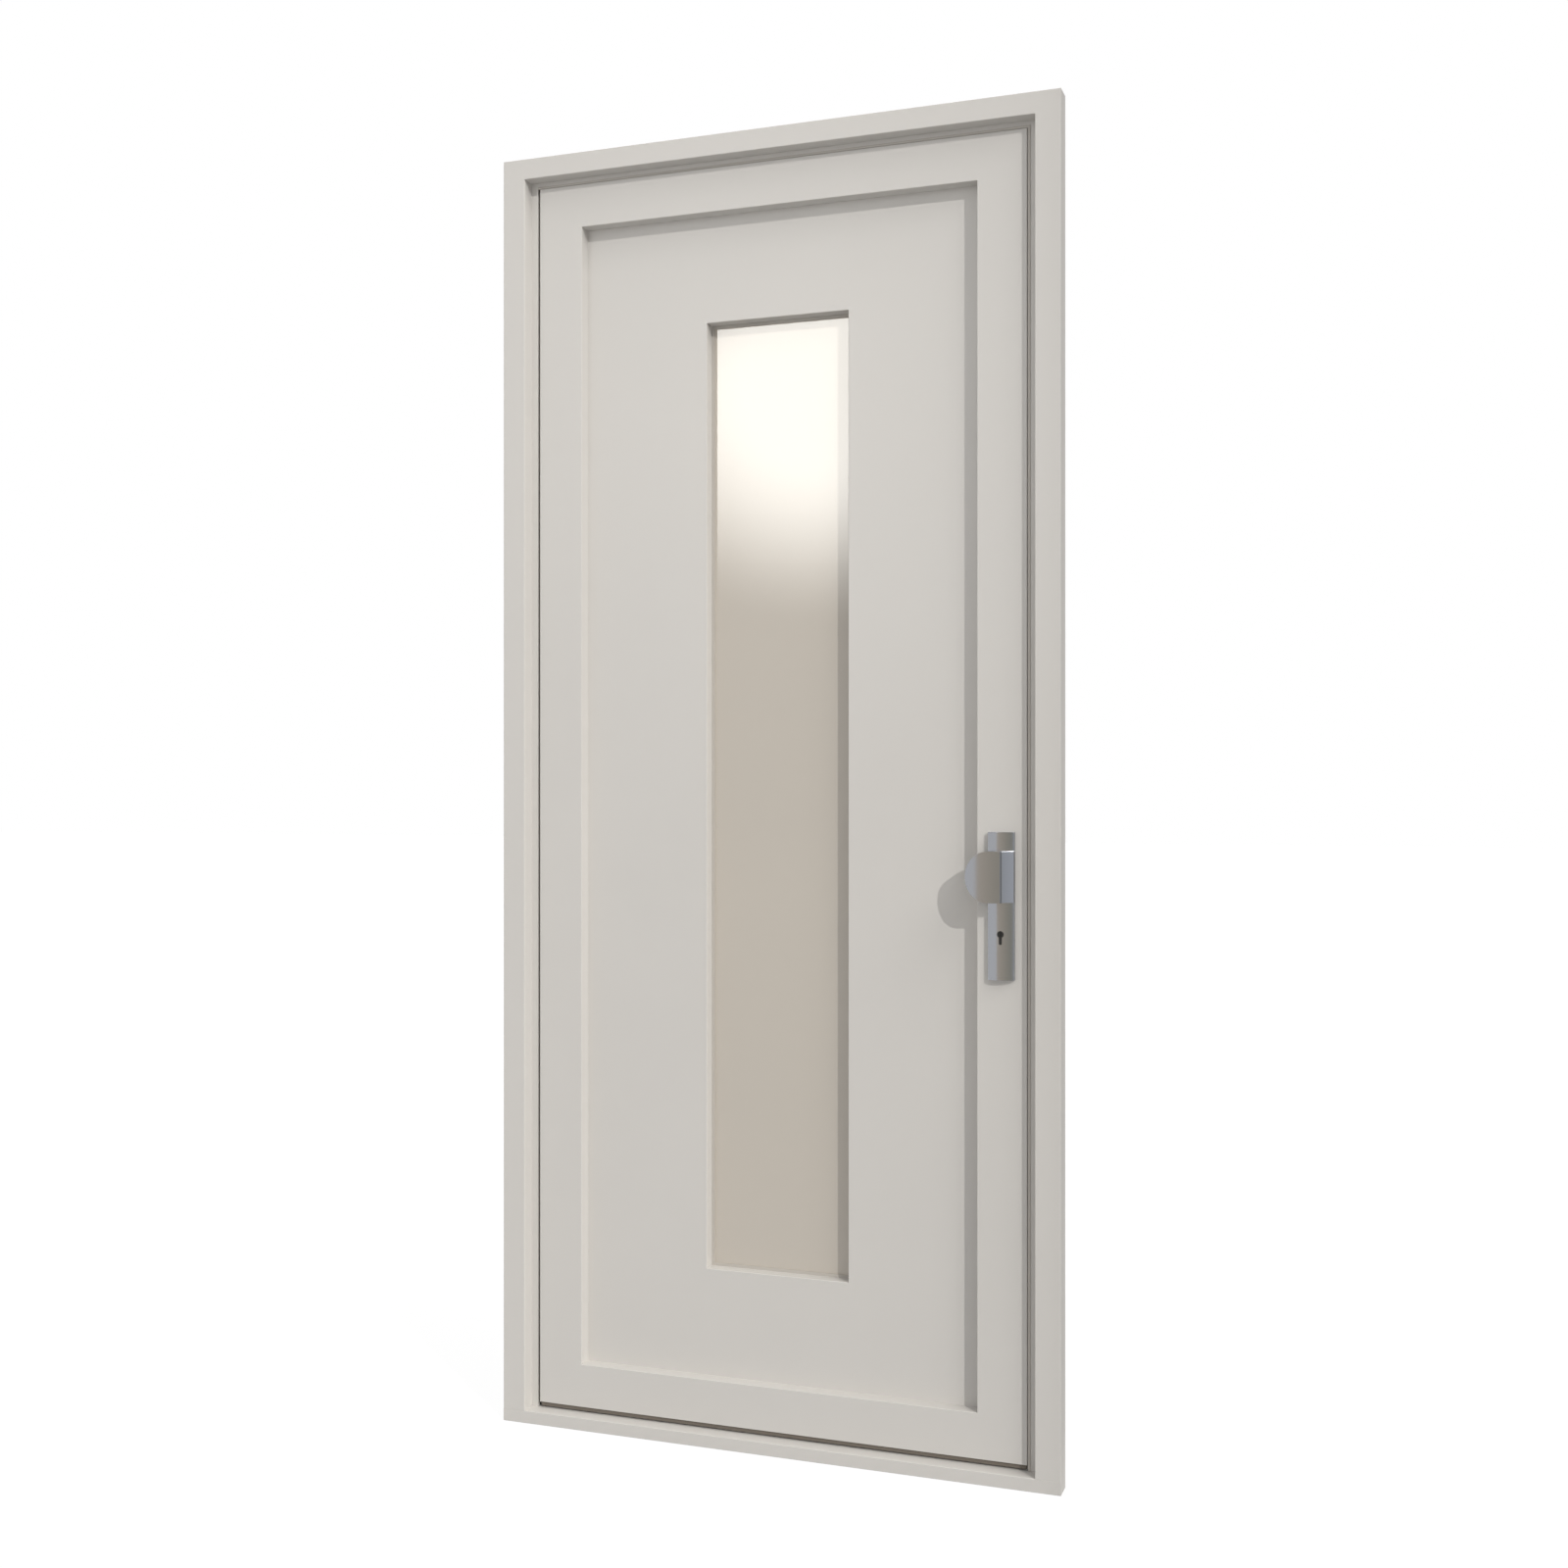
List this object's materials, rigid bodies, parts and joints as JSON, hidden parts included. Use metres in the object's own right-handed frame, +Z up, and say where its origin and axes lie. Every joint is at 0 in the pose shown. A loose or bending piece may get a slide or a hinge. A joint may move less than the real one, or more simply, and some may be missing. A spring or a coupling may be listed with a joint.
{
  "type": "front door",
  "caption": "Inward-opening front door in its frame, with a recessed panel round a tall narrow pane, a fixed knob on a long plate outside and a lever inside.",
  "frame": {"origin": "middle of the threshold's underside", "axes": "+X to the right seen from outside, +Y into the house, +Z up"},
  "size_m": [0.98, 0.1808, 2.2],
  "materials": {
    "painted_door": "satin powder coat, warm light grey",
    "satin_glass": "satin milky pane with a polished outer face",
    "satin_steel": "satin stainless steel",
    "zinc_steel": "zinc-plated steel",
    "black_cylinder": "blackened lock cylinder",
    "grey_rubber": "warm grey seal",
    "pale_gasket": "warm grey glazing gasket",
    "spacer_bar": "mill-finish spacer bar"
  },
  "bodies": {
    "frame": {"hinge_jamb": "painted_door", "lock_jamb": "painted_door", "frame_head": "painted_door", "threshold": "painted_door", "frame_seal": "grey_rubber", "strike_plate": "zinc_steel", "lower_hinge_frame_half": "satin_steel", "middle_hinge_frame_half": "satin_steel", "upper_hinge_frame_half": "satin_steel"},
    "leaf": {"hinge_stile": "painted_door", "lock_stile": "painted_door", "top_rail": "painted_door", "bottom_rail": "painted_door", "infill_panel": "painted_door", "panel_bead_left": "painted_door", "panel_bead_right": "painted_door", "panel_bead_top": "painted_door", "panel_bead_bottom": "painted_door", "glass_bead_left": "painted_door", "glass_bead_right": "painted_door", "glass_bead_top": "painted_door", "glass_bead_bottom": "painted_door", "glass_gasket": "pale_gasket", "outer_pane": "satin_glass", "glass_spacer": "spacer_bar", "inner_pane": "satin_glass", "outside_plate": "satin_steel", "outside_knob": "satin_steel", "lock_cylinder": "black_cylinder", "inside_plate": "satin_steel", "inside_lever": "satin_steel", "lock_faceplate": "zinc_steel", "latch_bolt": "zinc_steel", "dead_bolt": "zinc_steel", "lower_hinge_leaf_half": "satin_steel", "middle_hinge_leaf_half": "satin_steel", "upper_hinge_leaf_half": "satin_steel"}
  },
  "joints": [
    {"name": "leaf_swing", "type": "hinge", "parent": "frame", "child": "leaf", "pos_m": [-0.4655, 0.06, 1.09225], "axis": [0, 0, 1], "range_deg": [0, 100]}
  ]
}
